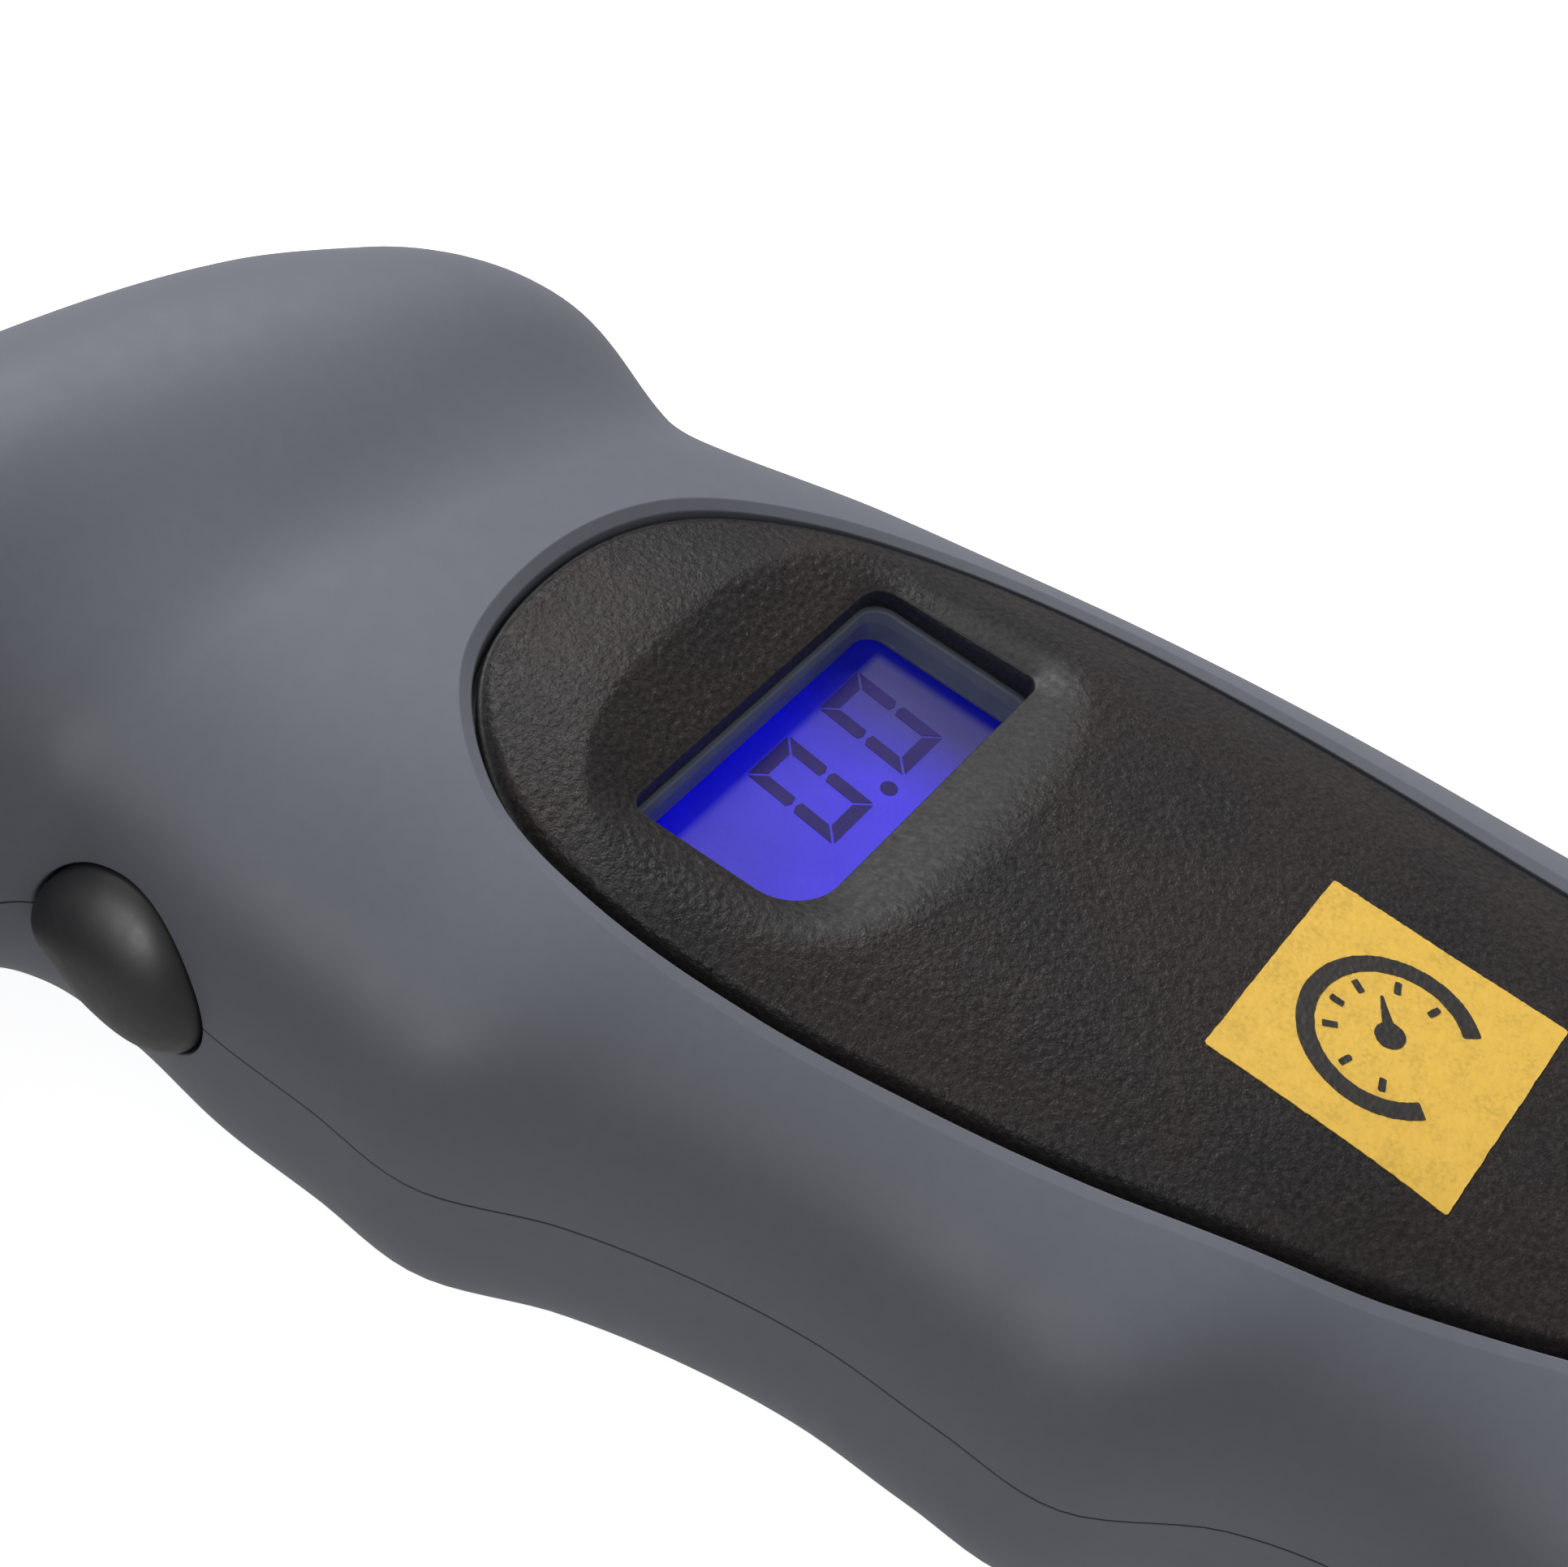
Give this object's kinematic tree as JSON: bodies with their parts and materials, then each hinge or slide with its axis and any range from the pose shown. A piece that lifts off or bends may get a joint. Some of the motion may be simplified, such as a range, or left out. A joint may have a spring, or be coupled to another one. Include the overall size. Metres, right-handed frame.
{
  "type": "tyre pressure gauge",
  "caption": "Hook-shaped digital tyre pressure gauge with a recessed backlit display, a side button, a valve chuck in the arm and a battery door in the back.",
  "frame": {"origin": "under the middle of the whole gauge, on the flat of its back", "axes": "+Z out of the display, +X towards the butt of the grip, -X towards the head, -Y the way the arm and its valve chuck point"},
  "size_m": [0.1416, 0.072, 0.0253],
  "materials": {
    "shell_grey": "satin soft-touch moulding",
    "face_black": "pebble-grained moulding",
    "window_clear": "clear polished",
    "badge_yellow": "printed film over light grain",
    "badge_ink": "printed ink",
    "button_black": "semi-gloss moulding",
    "screw_steel": "zinc plated",
    "board_green": "solder mask",
    "passive_tan": "ceramic body with tinned ends",
    "chip_black": "moulded package",
    "display_blue": "backlit liquid crystal under a polariser",
    "segment_navy": "dark segment layer",
    "frame_white": "white moulding",
    "connector_pink": "striped conductive elastomer",
    "guide_clear": "frosted acrylic",
    "led_blue": "moulded lens",
    "switch_black": "moulded case",
    "plunger_red": "moulded plunger",
    "collar_black": "fine-grained moulding",
    "chuck_brass": "turned",
    "seal_rubber": "nitrile",
    "sensor_steel": "drawn can",
    "wire_white": "PVC insulation",
    "cell_steel": "nickel plated",
    "contact_nickel": "nickel plated",
    "wire_red": "PVC insulation",
    "wire_black": "PVC insulation"
  },
  "bodies": {
    "housing": {"front_shell": "shell_grey", "rear_shell": "shell_grey", "face_plate": "face_black", "display_window": "window_clear", "badge_plate": "badge_yellow", "badge_symbol": "badge_ink", "shell_screws": "screw_steel", "main_board": "board_green", "board_screws": "screw_steel", "board_passives": "passive_tan", "controller_chip": "chip_black", "display_glass": "display_blue", "display_segments": "segment_navy", "display_frame": "frame_white", "display_connector": "connector_pink", "backlight_guide": "guide_clear", "backlight_leds": "led_blue", "button_switch": "switch_black", "chuck_collar": "collar_black", "chuck_body": "chuck_brass", "chuck_seal": "seal_rubber", "valve_pin": "chuck_brass", "pressure_sensor": "sensor_steel", "sensor_seal": "seal_rubber", "sensor_retainer": "switch_black", "sensor_wires": "wire_white", "button_cells": "cell_steel", "battery_spring": "contact_nickel", "battery_plate": "contact_nickel", "lead_red": "wire_red", "lead_black": "wire_black"},
    "button": {"side_button": "button_black"},
    "plunger": {"switch_plunger": "plunger_red"},
    "door": {"battery_door": "shell_grey"}
  },
  "joints": [
    {"name": "button_press", "type": "slide", "parent": "housing", "child": "button", "axis": [0, 1, 0], "range_m": [0, 0.0005], "stiffness_N_per_m": 4000},
    {"name": "plunger_press", "type": "slide", "parent": "housing", "child": "plunger", "axis": [0, 1, 0], "range_m": [0, 0.0007]},
    {"name": "door_swing", "type": "hinge", "parent": "housing", "child": "door", "pos_m": [0.02305, 0.0186, 0.00075], "axis": [0, 1, 0], "range_deg": [0, 60]}
  ],
  "couplings": [
    {"joint": "plunger_press", "follows": "button_press", "ratio": 1}
  ]
}
